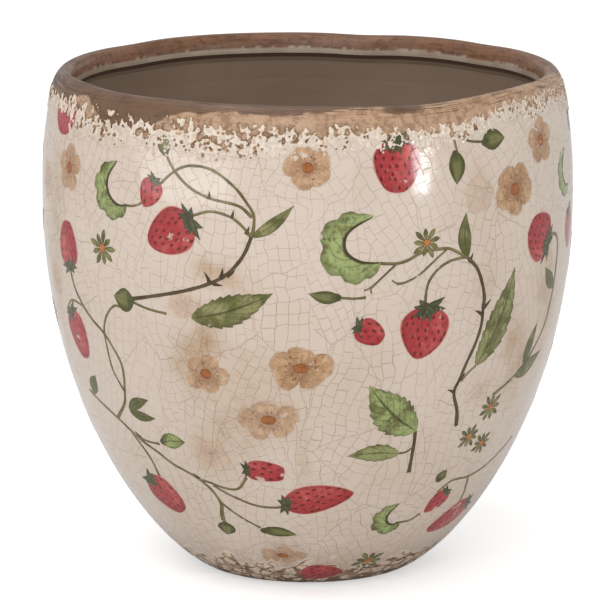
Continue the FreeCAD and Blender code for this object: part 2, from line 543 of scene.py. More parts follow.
def make_cream_group():
    """The aged cream glaze: its colour with crackle and tea-coloured stains, its roughness and relief."""
    web, result = new_group("aged_cream", [("Stain", "Float", 0.0)], surface_outputs)
    place = web.place()
    cracks = web.group(crackle)
    clouds = web.clouds(place, 16.0, 4.0, 0.6)
    broad = web.step(clouds, 0.42, 0.72)
    colour = web.mix(web.times(broad, 0.45), cream, cream_shade)
    cell_tone = web.minus(cracks["Cell"], 0.5, clamp=True)
    colour = web.mix(web.times(cell_tone, 0.16), colour, cream_shade)

    blotch = web.step(web.clouds(place, 45.0, 3.0, 0.6), 0.55, 0.8)
    mottle = web.step(web.clouds(place, 95.0, 5.0, 0.7), 0.32, 0.68, 0.5, 1.4)
    stain = web.larger(web.times(blotch, 0.22), web.times(web.given["Stain"], mottle))
    colour = web.mix(web.times(stain, 0.75), colour, crackle_stain)

    darker = web.step(clouds, 0.3, 0.7, 0.55, 0.95)
    aged_line = web.mix(web.times(stain, 0.9, clamp=True), crack_line, crack_brown)
    colour = web.mix(web.times(cracks["Line"], darker), colour, aged_line)
    speck = web.step(web.clouds(place, 900.0, 1.0), 0.72, 0.78)
    colour = web.mix(web.times(speck, 0.25), colour, crack_line)

    rough = web.step(web.clouds(place, 30.0, 2.0), 0.3, 0.7, 0.09, 0.14)
    rough = web.times_plus(cracks["Line"], 0.25, rough)
    ripple = web.times(web.clouds(place, 35.0, 1.0), 0.9)
    height = web.times_plus(cracks["Line"], -0.35, ripple)
    web.wire(result, {"Color": colour, "Roughness": rough, "Height": height})
    return web.tree


aged_cream = make_cream_group()
streak_tilt = 9 * mm


def make_streak_group():
    """Brush streaks that run round the pot, from 0 to 1."""
    inputs = [("Length", "Float", 20 * mm), ("Width", "Float", 1.2 * mm)]
    web, result = new_group("brush_streaks", inputs, [("Streak", "Float")])
    place = web.place()
    x, y = web.parts(place)[:2]
    along = web.over(web.times(web.front_angle(x, y), belly_radius), web.given["Length"])
    rise = web.times_plus(web.clouds(place, 14.0, 1.0), streak_tilt, web.value("station"))
    up = web.over(rise, web.given["Width"])
    web.wire(result, {"Streak": web.clouds(web.vector(along, up), 1.0, 3.0, 0.6)})
    return web.tree


brush_streaks = make_streak_group()

# How strongly the glaze and the prints in it shine, and how deep each surface's fine relief is
glaze_shine = 0.42
print_shine = 0.32
glaze_relief = 0.10 * mm
flake_relief_depth = 0.14 * mm
liner_relief = 0.08 * mm
clay_relief = 0.12 * mm


# Materials
def finish_glaze(web, shader, colour, rough, height, relief=glaze_relief):
    """Feeds a glaze's colour, roughness and relief to its shader."""
    bump = web.add("ShaderNodeBump", {"Strength": 1.0, "Distance": relief, "Height": height})
    web.wire(shader, {"Base Color": colour, "Roughness": rough, "Normal": bump.outputs[0]})


def make_cream_glaze():
    """The plain cream glaze, stained where its mesh says so."""
    material, web, shader = new_material("cream_glaze")
    aged = web.group(aged_cream, {"Stain": web.value("stain")})
    finish_glaze(web, shader, aged["Color"], aged["Roughness"], aged["Height"])
    web.wire(shader, {"Specular IOR Level": glaze_shine})
    return material


def make_flaked_glaze(name):
    """Cream glaze that breaks into flakes over a brown ground, with a painted highlight on the raised
    flakes. Values on the mesh say where the cream holds (cover above 0) and how strong that painted
    highlight is, how dark the ground is (umber), where the lip's top carries a painted grey sheen, where the
    ground is red, taupe or scratched, and how dark the pits and the painted shade beside the flakes are."""
    material, web, shader = new_material(name)
    place = web.place()
    aged = web.group(aged_cream, {"Stain": web.value("stain")})
    fine = web.minus(web.clouds(place, 1500.0, 2.0, 0.6), 0.5)
    cover = web.times_plus(fine, 0.9, web.value("cover"))
    streak = web.group(brush_streaks)["Streak"]
    broad = web.clouds(place, 70.0, 3.0, 0.6)
    mottle = web.clouds(place, 320.0, 4.0, 0.7)
    worn = web.plus(web.times(streak, 0.9), web.times(mottle, 0.7))

    # The ground: from tan to umber
    umber = web.plus(web.value("umber"), web.minus(worn, 0.8))
    tan = web.mix(web.step(mottle, 0.44, 0.62, 0.0, 0.8), rim_tan, rim_tan_deep)
    tan = web.mix(web.step(streak, 0.5, 0.72, 0.0, 0.5), tan, rim_tan_deep)
    brown = web.mix(web.step(umber, 0.8, 1.35, 0.0, 0.75), rim_brown, rim_umber)
    brown = web.mix(web.step(streak, 0.34, 0.26, 0.0, 0.5), brown, rim_tan_deep)
    ground = web.mix(web.step(umber, 0.2, 0.7), tan, brown)

    # Scratches, the painted grey sheen on the lip's top, and the red and taupe places
    scratch = web.group(brush_streaks, {"Length": 16 * mm, "Width": 0.55 * mm})["Streak"]
    scratch = web.times(web.step(scratch, 0.54, 0.62, 0.0, 0.8), web.value("scratch"))
    ground = web.mix(scratch, ground, rim_umber)
    # Painted sheen: grey where the lip's top catches the light, broken by the brush streaks
    grey = web.times(web.value("grey"), web.step(streak, 0.3, 0.7, 0.2, 0.9))
    ground = web.mix(grey, ground, rim_grey)
    red = web.value("red")
    ground = web.mix(web.times(red, web.step(broad, 0.3, 0.6, 0.4, 0.95)), ground, rim_red)
    rust = web.plus(web.times(streak, 0.6), web.times(mottle, 0.6))
    ground = web.mix(web.times(red, web.step(rust, 0.56, 0.72, 0.0, 0.8)), ground, rim_rust)
    bare = web.times(red, web.step(web.clouds(place, 260.0, 3.0, 0.7), 0.64, 0.74))
    ground = web.mix(web.times(bare, 0.4), ground, rim_tan)
    inner_lip = web.mix(web.step(broad, 0.3, 0.7, 0.0, 0.6), lip_taupe, taupe_dark)
    ground = web.mix(web.value("taupe"), ground, inner_lip)

    # Dark pits beside the flakes: dark brown ground, deepened as painted shade next to the raised cream
    pits_and_shade_beside_flakes = web.times(web.step(cover, -1.1, -0.3), web.value("pit"))
    pits_and_shade_beside_flakes = web.times(pits_and_shade_beside_flakes, web.step(mottle, 0.36, 0.56, 0.35, 1.0))
    ground = web.mix(web.times(pits_and_shade_beside_flakes, 0.9), ground, pit_brown)

    # The cream skin: a painted highlight on the raised flakes, and thin at its torn edge
    pale = web.times(web.step(cover, 0.8, 2.2, 0.6, 0.0), web.value("pale"))
    skin = web.mix(pale, aged["Color"], flake_highlight_colour)
    skin = web.mix(web.step(cover, 0.1, 0.7, 0.8, 0.0), skin, thin_cream)
    skin = web.mix(web.step(mottle, 0.55, 0.75, 0.0, 0.25), skin, cream_shade)

    held = web.step(cover, -0.05, 0.12)
    colour = web.mix(held, ground, skin)
    ground_rough = web.times(web.minus(1.0, held), web.step(streak, 0.3, 0.7, 0.3, 0.5))
    rough = web.plus(web.times(held, aged["Roughness"]), ground_rough)
    height = web.plus(aged["Height"], worn)
    height = web.plus(height, web.step(cover, -0.15, 0.7, 0.0, 1.6))
    finish_glaze(web, shader, colour, rough, height, flake_relief_depth)
    web.wire(shader, {"Specular IOR Level": glaze_shine})
    return material


def make_liner_glaze():
    """The matte taupe glaze inside, brushed round, with a painted shadow line under the brown of the lip."""
    material, web, shader = new_material("liner_glaze")
    place = web.place()
    streak = web.group(brush_streaks, {"Length": 60 * mm, "Width": 3.5 * mm})["Streak"]
    broad = web.clouds(place, 18.0, 3.0, 0.6)
    colour = web.mix(web.step(broad, 0.3, 0.75), taupe, taupe_dark)
    colour = web.mix(web.step(streak, 0.6, 0.85, 0.0, 0.35), colour, rim_grey)
    rub = web.group(brush_streaks, {"Length": 30 * mm, "Width": 0.9 * mm})["Streak"]
    colour = web.mix(web.step(rub, 0.64, 0.72, 0.0, 0.35), colour, lip_taupe)
    # Painted shadow: a dark band just under the lip's overhang
    painted_lip_shadow = web.step(web.value("below_lip"), 1.4 * mm, 2.2 * mm, 0.9, 0.0)
    colour = web.mix(painted_lip_shadow, colour, rim_umber)
    rough = web.step(streak, 0.3, 0.7, 0.42, 0.6)
    height = web.plus(streak, web.clouds(place, 500.0, 2.0))
    finish_glaze(web, shader, colour, rough, height, liner_relief)
    return material


def make_bare_clay():
    """The fired clay of the foot ring, with dark specks."""
    material, web, shader = new_material("fired_clay")
    place = web.place()
    colour = web.mix(web.step(web.clouds(place, 60.0, 4.0, 0.65), 0.35, 0.7), bare_clay, bare_clay_dark)
    speck = web.step(web.clouds(place, 1400.0, 1.0), 0.68, 0.75)
    colour = web.mix(web.times(speck, 0.6), colour, rim_umber)
    rough = web.step(web.clouds(place, 200.0, 2.0), 0.3, 0.7, 0.75, 0.92)
    finish_glaze(web, shader, colour, rough, web.clouds(place, 1800.0, 3.0, 0.7), clay_relief)
    return material


# Print colours
berry_red = paint(170, 58, 62)
berry_light = paint(196, 92, 88)
berry_dark = paint(124, 38, 40)
seed_dark = paint(100, 20, 24)
seed_glint = paint(226, 176, 160)
halo_pink = paint(214, 152, 138)
leaf_green = paint(108, 108, 62)
leaf_light = paint(158, 171, 112)
leaf_straw = paint(152, 147, 100)
leaf_dark = paint(68, 68, 40)
bud_green = paint(84, 87, 46)
stem_olive = paint(104, 92, 58)
stem_pale = paint(134, 123, 84)
stem_dark = paint(62, 46, 30)
calyx_green = paint(66, 68, 48)
calyx_light = paint(104, 108, 74)
petal_tan = paint(180, 140, 102)
petal_pale = paint(205, 169, 130)
petal_edge = paint(134, 94, 62)
heart_orange = paint(194, 122, 60)
heart_brown = paint(166, 103, 60)
heart_dark = paint(120, 70, 42)
daisy_green = paint(90, 86, 50)
daisy_light = paint(138, 132, 82)


def make_ink_group():
    """Printed colour under the same crackled glaze: it wears through to the cream in places."""
    inputs = [("Ink", "Color", (1, 1, 1, 1)), ("Strength", "Float", 1.0)]
    web, result = new_group("ink_in_glaze", inputs, surface_outputs)
    place = web.place()
    aged = web.group(aged_cream)
    cracks = web.group(crackle)
    worn = web.step(web.clouds(place, 130.0, 4.0, 0.65), 0.645, 0.70)
    strength = web.times(web.given["Strength"], web.times_plus(worn, -0.75, 1.0))
    faded = web.step(web.clouds(place, 420.0, 2.0), 0.3, 0.7, 0.0, 0.03)
    ink = web.mix(faded, web.given["Ink"], cream)
    ink = web.mix(web.times(cracks["Line"], 0.38), ink, stem_dark)
    colour = web.mix(strength, aged["Color"], ink)
    web.wire(result, {"Color": colour, "Roughness": aged["Roughness"], "Height": aged["Height"]})
    return web.tree


ink_in_glaze = make_ink_group()


def finish_print(web, shader, ink, strength=1.0):
    """Feeds a print's ink, as it looks in the glaze, to its shader."""
    under = web.group(ink_in_glaze, {"Ink": ink, "Strength": strength})
    finish_glaze(web, shader, under["Color"], under["Roughness"], under["Height"])
    web.wire(shader, {"Specular IOR Level": print_shine})


def from_middle_line(web):
    """How far a point lies from the middle of its sheet: 0 there and 1 at either edge."""
    return web.maths("ABSOLUTE", web.value("across"))


def rounded(web, across, along, width, length):
    """A soft oval mask about 0, 0: 1 inside and 0 outside."""
    reach = web.length(web.over(across, width), web.over(along, length))
    return web.step(reach, 0.38, 0.56, 1.0, 0.0)


# Seeds of a strawberry: their spacing and size, and the glint beside some of them
seed_spacing = (3.2 * mm, 2.9 * mm)
seed_size = (1.25 * mm, 1.9 * mm)
seed_stray = 0.42
glint_offset = (0.5 * mm, 0.35 * mm)
glint_size = (0.7 * mm, 1.2 * mm)


def make_berry_print():
    """Strawberries: washed red with staggered dark seeds, darker at the sides, and a pale halo."""
    material, web, shader = new_material("strawberry_print")
    across = web.value("across")
    along = web.value("along")
    side = from_middle_line(web)
    row_at = web.over(web.value("reach_along"), seed_spacing[1])
    row = web.floor(row_at)
    step_aside = web.times(web.maths("MODULO", row, 2.0), 0.5)
    column_at = web.plus(web.over(web.value("reach_across"), seed_spacing[0]), step_aside)
    column = web.floor(column_at)
    chance = web.chance(row, column, web.value("tone"))
    jump_x, jump_y, jump_z = web.parts(chance["Color"])

    def from_seed(position, cell, jump, size):
        offset = web.minus(web.minus(position, cell), 0.5)
        offset = web.times_plus(web.minus(jump, 0.5), -seed_stray, offset)
        return web.times(offset, size)

    seed_x = from_seed(column_at, column, jump_x, seed_spacing[0])
    seed_y = from_seed(row_at, row, jump_y, seed_spacing[1])
    seed = rounded(web, seed_x, seed_y, *seed_size)
    glint_x = web.plus(seed_x, glint_offset[0])
    glint_y = web.plus(seed_y, glint_offset[1])
    glint = rounded(web, glint_x, glint_y, *glint_size)

    wash = web.clouds(web.place(), 180.0, 3.0, 0.6)
    light = web.step(web.times_plus(wash, 1.1, web.times(across, -0.25)), 0.5, 0.9)
    ink = web.mix(light, berry_red, berry_light)
    ink = web.mix(web.step(side, 0.55, 0.95, 0.0, 0.45), ink, berry_dark)
    ink = web.mix(web.step(along, 0.7, 1.0, 0.0, 0.35), ink, berry_dark)
    ink = web.mix(web.times(glint, web.step(jump_z, 0.55, 0.9, 0.0, 0.5)), ink, seed_glint)
    ink = web.mix(web.times(seed, web.step(jump_z, 0.05, 0.3, 0.35, 0.95)), ink, seed_dark)
    halo = web.larger(web.step(side, 0.93, 0.98), web.step(along, 0.965, 0.99))
    ink = web.mix(web.times(halo, 0.8), ink, halo_pink)
    finish_print(web, shader, ink)
    return material


side_veins = 8.0


def make_leaf_print():
    """Leaves with a dark midrib and side veins: their tone runs from olive buds to light curled leaves."""
    material, web, shader = new_material("leaf_print")
    place = web.place()
    tone = web.value("tone")
    along = web.value("along")
    side = from_middle_line(web)
    wash = web.clouds(place, 150.0, 3.0, 0.6)
    base = web.mix(web.step(tone, 0.1, 0.9), bud_green, leaf_green)
    light = web.mix(web.step(tone, 0.6, 0.85), leaf_straw, leaf_light)
    lit = web.step(web.times(wash, web.step(tone, 0.1, 1.0, 0.85, 1.4)), 0.46, 0.74)
    ink = web.mix(lit, base, light)
    blotch = web.step(web.clouds(place, 300.0, 3.0, 0.6), 0.5, 0.75)
    blotch = web.times(blotch, web.step(tone, 0.86, 0.96, 0.4, 0.85))
    ink = web.mix(blotch, ink, leaf_dark)
    ink = web.mix(web.step(side, 0.6, 1.0, 0.0, 0.5), ink, leaf_dark)

    # Side veins slant to the tip, and fade towards the edge of a curled leaf
    slant = web.times(web.times_plus(side, -0.30, along), side_veins)
    stripe = web.maths("ABSOLUTE", web.minus(web.maths("FRACT", slant), 0.5))
    veins = web.times(web.step(stripe, 0.0, 0.16, 0.55, 0.0), web.step(tone, 0.3, 0.6))
    faded = web.times(web.step(tone, 0.8, 0.95), web.step(side, 0.35, 0.8))
    veins = web.times(veins, web.times_plus(faded, -0.9, 1.0))
    ink = web.mix(veins, ink, leaf_dark)
    ink = web.mix(web.step(side, 0.02, 0.12, 0.85, 0.0), ink, leaf_dark)

    # A bud's light heart, and a curled leaf's dark inner edge
    heart = web.times(web.step(side, 0.25, 0.7, 0.4, 0.0), web.step(along, 0.2, 0.4))
    heart = web.times(heart, web.step(tone, 0.15, 0.3, 1.0, 0.0))
    ink = web.mix(heart, ink, light)
    curled = web.times(web.step(tone, 0.85, 0.95), web.step(web.value("across"), -0.14, 0.0))
    ink = web.mix(web.times(curled, 0.9), ink, stem_dark)
    finish_print(web, shader, ink)
    return material


def make_stem_print():
    """Stems, dark along one side and browner where they are thick."""
    material, web, shader = new_material("stem_print")
    wash = web.clouds(web.place(), 120.0, 2.0)
    ink = web.mix(web.step(wash, 0.35, 0.65), stem_olive, stem_pale)
    ink = web.mix(web.step(web.value("across"), -0.1, 0.9, 0.0, 0.5), ink, stem_dark)
    ink = web.mix(web.step(web.value("tone"), 0.5, 0.9, 0.0, 0.8), ink, stem_dark)
    finish_print(web, shader, ink)
    return material


def make_calyx_print():
    """The small pointed leaves on strawberries and buds, lighter along their middle."""
    material, web, shader = new_material("calyx_print")
    ink = web.mix(web.step(from_middle_line(web), 0.1, 0.8, 0.75, 0.0), calyx_green, calyx_light)
    ink = web.mix(web.step(web.clouds(web.place(), 260.0, 2.0), 0.35, 0.7), ink, calyx_green)
    finish_print(web, shader, ink)
    return material


def make_blossom_print():
    """Tan petals with fine lines from the heart, brown blotches and edges that fade into the glaze."""
    material, web, shader = new_material("blossom_print")
    place = web.place()
    tone = web.value("tone")
    along = web.value("along")
    side = from_middle_line(web)
    wash = web.clouds(place, 210.0, 3.0, 0.6)
    ink = web.mix(web.step(wash, 0.35, 0.7), petal_tan, petal_pale)
    fan = web.vector(web.times(web.value("across"), 7.0), web.times(along, 1.2), tone)
    ink = web.mix(web.step(web.clouds(fan, 1.0, 2.0), 0.48, 0.7, 0.0, 0.4), ink, petal_edge)
    blotch = web.clouds(place, 110.0, 4.0, 0.65)
    ink = web.mix(web.step(blotch, 0.46, 0.66, 0.0, 0.4), ink, petal_edge)
    middle_line = web.times(web.step(side, 0.03, 0.16, 0.5, 0.0), web.step(along, 0.3, 0.8, 1.0, 0.0))
    ink = web.mix(middle_line, ink, petal_edge)
    ink = web.mix(web.step(along, 0.45, 0.15, 0.0, 0.4), ink, heart_dark)
    rim = web.larger(web.step(side, 0.70, 0.92), web.step(along, 0.86, 0.96))
    ink = web.mix(web.times(rim, 0.35), ink, petal_edge)
    speckle = web.step(web.clouds(place, 600.0, 2.0, 0.6), 0.52, 0.68)
    ink = web.mix(web.times(speckle, 0.5), ink, petal_edge)
    near_heart = web.times(web.step(along, 0.2, 0.3), web.step(along, 0.55, 0.4))
    dots = web.times(web.step(web.clouds(place, 850.0, 0.0), 0.62, 0.68), near_heart)
    ink = web.mix(web.times(dots, 0.8), ink, heart_dark)
    edge = web.times(web.step(side, 0.72, 1.0), web.step(along, 0.6, 0.85))
    edge = web.larger(edge, web.step(along, 0.84, 1.0))
    finish_print(web, shader, ink, web.times(tone, web.times_plus(edge, -0.7, 0.94)))
    return material


def make_daisy_print():
    """The narrow green petals of the small star-shaped flowers."""
    material, web, shader = new_material("daisy_print")
    ink = web.mix(web.step(web.clouds(web.place(), 300.0, 2.0), 0.35, 0.7), daisy_green, daisy_light)
    ink = web.mix(web.step(from_middle_line(web), 0.5, 1.0, 0.0, 0.6), ink, calyx_green)
    finish_print(web, shader, ink)
    return material


def make_heart_print():
    """The hearts of the flowers: orange in the small ones and brown in the blossoms, with dark dots."""
    material, web, shader = new_material("heart_print")
    ink = web.mix(web.step(web.value("tone"), 0.55, 0.75), heart_orange, heart_brown)
    dots = web.step(web.clouds(web.place(), 1100.0, 1.0), 0.5, 0.62)
    ink = web.mix(web.times(dots, 0.6), ink, heart_dark)
    ink = web.mix(web.step(from_middle_line(web), 0.5, 1.0, 0.0, 0.7), ink, heart_dark)
    finish_print(web, shader, ink)
    return material


cream_glaze = make_cream_glaze()
rim_glaze = make_flaked_glaze("rim_glaze")
foot_glaze = make_flaked_glaze("foot_glaze")
liner_glaze = make_liner_glaze()
fired_clay = make_bare_clay()


# Glaze coats: how many steps each is drawn in round the pot
coat_segments = 320
rim_segments = 1360
foot_segments = 700
liner_segments = 240

# Tea-coloured stains on the cream: degrees, height, width and height of each in millimetres, strength
tea_stains = (
    (-22, 112, 7, 9, 0.75), (-26, 101, 9, 11, 0.9), (-24, 62, 9, 9, 0.9), (-9, 81, 11, 9, 0.9),
    (-20, 138, 8, 5, 0.8), (-14, 134, 8, 5, 0.5), (-26, 124, 6, 5, 0.7), (-1, 62, 4, 12, 0.4),
    (-68, 150, 8, 26, 0.5), (-72, 110, 7, 20, 0.5), (-9, 20, 12, 6, 0.6), (50, 108, 7, 14, 0.7),
    (40, 128, 6, 8, 0.35), (62, 128, 6, 16, 0.75), (12, 172, 5, 8, 0.2), (38, 168, 6, 9, 0.4),
    (56, 92, 9, 14, 0.8), (44, 86, 8, 8, 0.4), (66, 104, 6, 20, 0.5), (-12, 100, 12, 10, 0.42),
    (79, 128, 6, 36, 0.5), (-18, 76, 14, 17, 0.4),
)


def stained(places):
    """How strongly each place is stained: the same washes on the front and on the back."""
    degrees = front_degrees(places)
    total = 0
    for at, height, width, tall, strength in tea_stains:
        for turn in (0, 180):
            away = ((degrees - at - turn + 180) % 360 - 180) * math.pi / 180 * belly_radius
            reach = (away / (width * mm)) ** 2 + ((places[:, 2] - height * mm) / (tall * mm)) ** 2
            total = total + strength * np.exp(-reach)
    return total


def make_cream_coat():
    """The plain cream coat from above the foot's fringe to below the rim's."""
    front = np.linspace(station_at(foot_piece_top), station_at(rim_piece_bottom), 64)
    mesh = rolled_coat(coat_outline(front, 9), coat_segments)
    keep_values(mesh, stain=stained(points_of(mesh)))
    piece = finished_piece("cream_coat", mesh, cream_glaze, 60)
    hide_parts("cream_glaze_coat")


def flake_relief(cover, keep):
    """How far the skin stands up: rounded flakes over a low ground, and level where all is cream."""
    held = ease(cover, -0.3, 0.5)
    level = 1 - ease(cover, 0.8, 1.7)
    return keep * level * (ground_lift + flake_lift * held)


# The rim's coat: the stretch drawn finely for its flakes, the plain cream below and the plain brown above
fringe_start_height = 178 * mm
fringe_end_height = 196.5 * mm
plain_cream_top = 179 * mm
flakes_top = 198.5 * mm

# How the fringe and the browns vary round the rim: bumps, each at an angle, with a width and a height
fringe_top_bumps = (
    (-62, 14, 2.0), (-80, 12, 1.0), (-26, 12, 1.0), (27, 7, -1.0),
    (48, 10, 2.4), (70, 16, 3.2), (125, 25, 1.5), (178, 14, -1.5),
)
fringe_low_bumps = (
    (-18, 6, -3.8), (-50, 14, -1.2), (-70, 9, 6.0), (-90, 10, 3.0), (22, 12, 2.2),
    (46, 11, 4.4), (70, 14, 4.8), (110, 15, -3.0), (160, 12, -3.0), (-130, 20, -2.5),
)
pitted_bumps = (
    (-45, 24, 1.0), (-18, 8, 0.5), (-5, 14, 0.6), (8, 6, 0.7), (130, 40, 0.9), (-140, 40, 0.8),
)
fine_flake_bumps = ((62, 26, 1.1), (-125, 30, 1.0))
thick_cream_bumps = ((10, 20, 1.0), (52, 20, 1.0))
tan_bumps = (
    (-45, 12, -12), (-57, 7, 5), (-75, 12, -9), (-6, 14, 0.6),
    (23, 14, 6), (48, 16, 5), (75, 16, 4), (130, 30, -8), (-130, 30, -7),
)
soft_brown_bumps = ((-50, 20, 1.0), (40, 20, 1.0))


def make_rim_band():
    """The rolled lip: brushed browns over its crest, and flaked cream below them."""
    fringe_start = station_at(fringe_start_height)
    fringe_end = station_at(fringe_end_height)
    front = np.concatenate([
        np.linspace(station_at(rim_piece_bottom), fringe_start, 4)[:-1],
        np.linspace(fringe_start, fringe_end, 46)[:-1],
        np.linspace(fringe_end, brown_end_station, 17),
    ])
    mesh = rolled_coat(coat_outline(front, 11), rim_segments)
    places = points_of(mesh)
    degrees = front_degrees(places)
    stations = read_values(mesh, "station")
    height = places[:, 2] - rim_wave(np.arctan2(places[:, 1], places[:, 0]))
    outside = stations < crest_station
    wander = grain(places, 14 * mm, 5)
    lumps = grain(places, 4.2 * mm, 1)
    clusters = grain(places, 5.5 * mm, 4)
    fingers = grain(places * (1, 1, 0.65), 1.9 * mm, 2)
    crumbs = grain(places, 1.05 * mm, 3)
    pit_near = from_lumps(places + 0.4 * mm * crumbs[:, None], 1.9 * mm, 8)[0]

    # Where the cream holds: 0 at the fringe's top edge and 1 at its low edge, broken up by noise
    top = 193.6 + 0.9 * wander + bumps(degrees, *fringe_top_bumps)
    low = 184.6 + 1.2 * wander + bumps(degrees, *fringe_low_bumps)
    below = (top - height / mm) / (top - low)
    fine = np.clip(bumps(degrees, *fine_flake_bumps), 0, 1)
    cover = 2.6 * (below - 0.36) + (2.6 - 1.6 * fine) * fingers + (1.1 + 1.9 * fine) * crumbs + 1.0 * lumps
    cover = cover + 0.4 * bumps(degrees, *thick_cream_bumps) - 5.0 * ease(0.05 - below, 0, 0.4)

    # Pits through the cream, in clusters
    pitted = bumps(degrees, *pitted_bumps)
    holes = ease(0.30 + 0.12 * pitted - pit_near, 0, 0.14) * ease(clusters + 0.30 * pitted, -0.05, 0.2)
    depth = holes * ease(1.40 - below, 0, 0.3)
    cover = np.where(cover > -0.8, cover + (-0.8 - np.minimum(cover, 1.5)) * depth, cover)
    cover = np.where(outside & (height < flakes_top), cover, -3)
    cover = np.where(height < plain_cream_top, 3, np.clip(cover, -3, 3))
    keep = ease(height, 178.5 * mm, 181 * mm) * (1 - ease(height, 195 * mm, flakes_top))
    place_coat(mesh, glaze_thickness, flake_relief(cover, np.where(outside, keep, 0)))

    # The browns above it, by how far they run up from the lip's foot and in from its crest
    run = (stations - station_at(lip_start_height)) / mm
    tan_top = 9.0 + 1.0 * wander + 0.9 * grain(places, 4 * mm, 9) + bumps(degrees, *tan_bumps)
    soft_edge = 0.9 + 1.8 * bumps(degrees, *soft_brown_bumps)
    umber = 0.85 * ease(run, tan_top - soft_edge / 2, tan_top + soft_edge / 2)
    umber = umber + 0.25 * grain(places, 9 * mm, 6)
    umber = umber + 1.1 * bumps(degrees, (20, 5, 1.0)) * ease(run, 9.0, 10.5)
    # Painted shade: a deeper brown at the rim's left end
    umber = umber + 0.5 * bumps(degrees, (-92, 22, 1.0))
    inner_run = (stations - crest_station) / mm
    inward = ease(inner_run, -0.5, 1.5)
    ragged = 0.6 * grain(places, 2.2 * mm, 7) + 0.5 * wander
    brown_end = (brown_end_station - crest_station) / mm
    keep_values(
        mesh,
        cover=cover,
        umber=umber,
        # Painted sheen on the lip's top, over the dark brown
        grey=0.25 * ease(run, 9, 12) * (1 - inward) * ease(umber, 0.3, 0.7),
        red=inward,
        taupe=ease(inner_run + ragged, brown_end - 2.4, brown_end - 2.0),
        # Strength of the dark pits and of the painted shade beside the flakes
        pit=1 - 0.9 * ease(0.75 - below, 0, 0.6) * (1 - 0.6 * ease(pitted, 0.1, 0.6)),
        # How strong the painted highlight on the flakes is, rising up the fringe
        pale=ease(height, 178 * mm, 186 * mm),
        scratch=ease(run, 7.5, 9.5) * (1 - ease(inner_run, -1, 1)),
        stain=0.4 * ease(cover, 3.0, 1.0) * ease(wander, -0.2, 0.4) + stained(places),
    )
    piece = finished_piece("rim_band", mesh, rim_glaze, 75)
    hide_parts("rim_glaze_band")


# The foot's coat: the stretch drawn finely for its flakes, and the plain cream above it
foot_fringe_end_height = 19 * mm
foot_flakes_top = 18.5 * mm
foot_umber_bumps = ((72, 24, 3.0), (-115, 30, 2.0))


def make_foot_band():
    """The lowest stretch: cream in patches, netted with brown, above the bare foot ring."""
    clay_start = np.interp(bare_foot_height, clay_line[outer_side, 1], clay_run[outer_side])
    fringe_end = station_at(foot_fringe_end_height)
    front = np.concatenate([
        np.linspace(clay_start, fringe_end, 60)[:-1],
        np.linspace(fringe_end, station_at(foot_piece_top), 5),
    ])
    mesh = rolled_coat(coat_outline(front, 9), foot_segments)
    places = points_of(mesh)
    height = places[:, 2]
    wander = grain(places, 16 * mm, 14)
    lumps = grain(places, 6.0 * mm, 11)
    bends = [grain(places, 2.4 * mm, 31 + axis) for axis in range(3)]
    bent = places + 1.1 * mm * np.stack(bends, axis=1)
    nearest, next_one = from_lumps(bent, 5.2 * mm, 12)
    small_lump = from_lumps(bent, 1.5 * mm, 13)[0]

    # How far up the fringe each place is, then where the cream holds between brown veins and pits
    browner = bumps(front_degrees(places), *foot_umber_bumps)
    above = (height / mm - 4.0 - 1.5 * wander - browner) / 12
    vein = 0.15 + 0.14 * ease(0.10 - above, 0, 0.3) - 0.05 * above + 0.13 * lumps
    cover = 4.5 * (next_one - nearest - vein) + 4 * ease(above + 0.7 * lumps, 0.55, 1.0)
    cover = cover - 3.5 * ease(0.30 - small_lump, 0, 0.1) * ease(0.5 * lumps + 0.6 - above, 0.1, 0.4)
    cover = np.where(height > foot_flakes_top, 3, np.clip(cover, -3, 3))
    keep = 0.22 * (1 - ease(height, 15 * mm, 18 * mm))
    place_coat(mesh, glaze_thickness, flake_relief(cover, keep))
    keep_values(
        mesh,
        cover=cover,
        umber=0.40 + 0.5 * grain(places, 8 * mm, 15) + 0.3 * ease(height, 6 * mm, 3 * mm),
        grey=0,
        red=0,
        taupe=0,
        scratch=0,
        # Dark pits with painted shade beside the foot's flakes
        pit=0.35,
        # How strong the painted highlight on the foot's flakes is
        pale=0.75,
        stain=0.4 * ease(height, 24 * mm, 8 * mm) + stained(places),
    )
    piece = finished_piece("foot_band", mesh, foot_glaze, 75)
    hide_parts("foot_glaze_band")


liner_edge_width = 3 * mm


def make_liner():
    """The matte glaze inside, from under the brown of the lip down the wall and across the floor."""
    top = brown_end_station
    edge_end = top + liner_edge_width
    down = [np.linspace(top, edge_end, 8)[:-1], np.linspace(edge_end, clay_run[-1], 84)]
    up = np.concatenate(down)[::-1]
    outline = [(station, 1) for station in up] + [(station, 0) for station in up[::-6]]
    outline.append((up[0], 0))
    mesh = rolled_coat(outline, liner_segments, closed=False)
    place_coat(mesh, liner_thickness)
    keep_values(mesh, below_lip=read_values(mesh, "station") - brown_end_station)
    piece = finished_piece("inner_liner", mesh, liner_glaze, 50)
    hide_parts("inner_glaze_liner")


make_cream_coat()
make_rim_band()
make_foot_band()
make_liner()
clay_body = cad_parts["clay_body"]
clay_body.data.materials.clear()
clay_body.data.materials.append(fired_clay)


# Printed films: their thickness, how high each kind lies in the glaze, and how overlapping sheets keep apart
film_thickness = 0.14 * mm
layer_step = 0.004 * mm
layers = 5
film_seam = 0.003 * mm
film_speck = 0.002 * mm
lifts = {"blossoms": 0.030 * mm, "stems": 0.050 * mm, "leaves": 0.070 * mm, "daisies": 0.070 * mm,
         "berries": 0.090 * mm, "calyxes": 0.110 * mm, "hearts": 0.110 * mm}


def even_points(line, count):
    """Points at even distances along a line."""
    run = run_along(line)
    at = np.linspace(0, run[-1], count)
    return np.stack([np.interp(at, run, line[:, axis]) for axis in (0, 1)], axis=1)


def anchor_station(anchor):
    """The station of an anchor, which is given as degrees from the front and a height in millimetres."""
    return station_at(anchor[1] * mm)


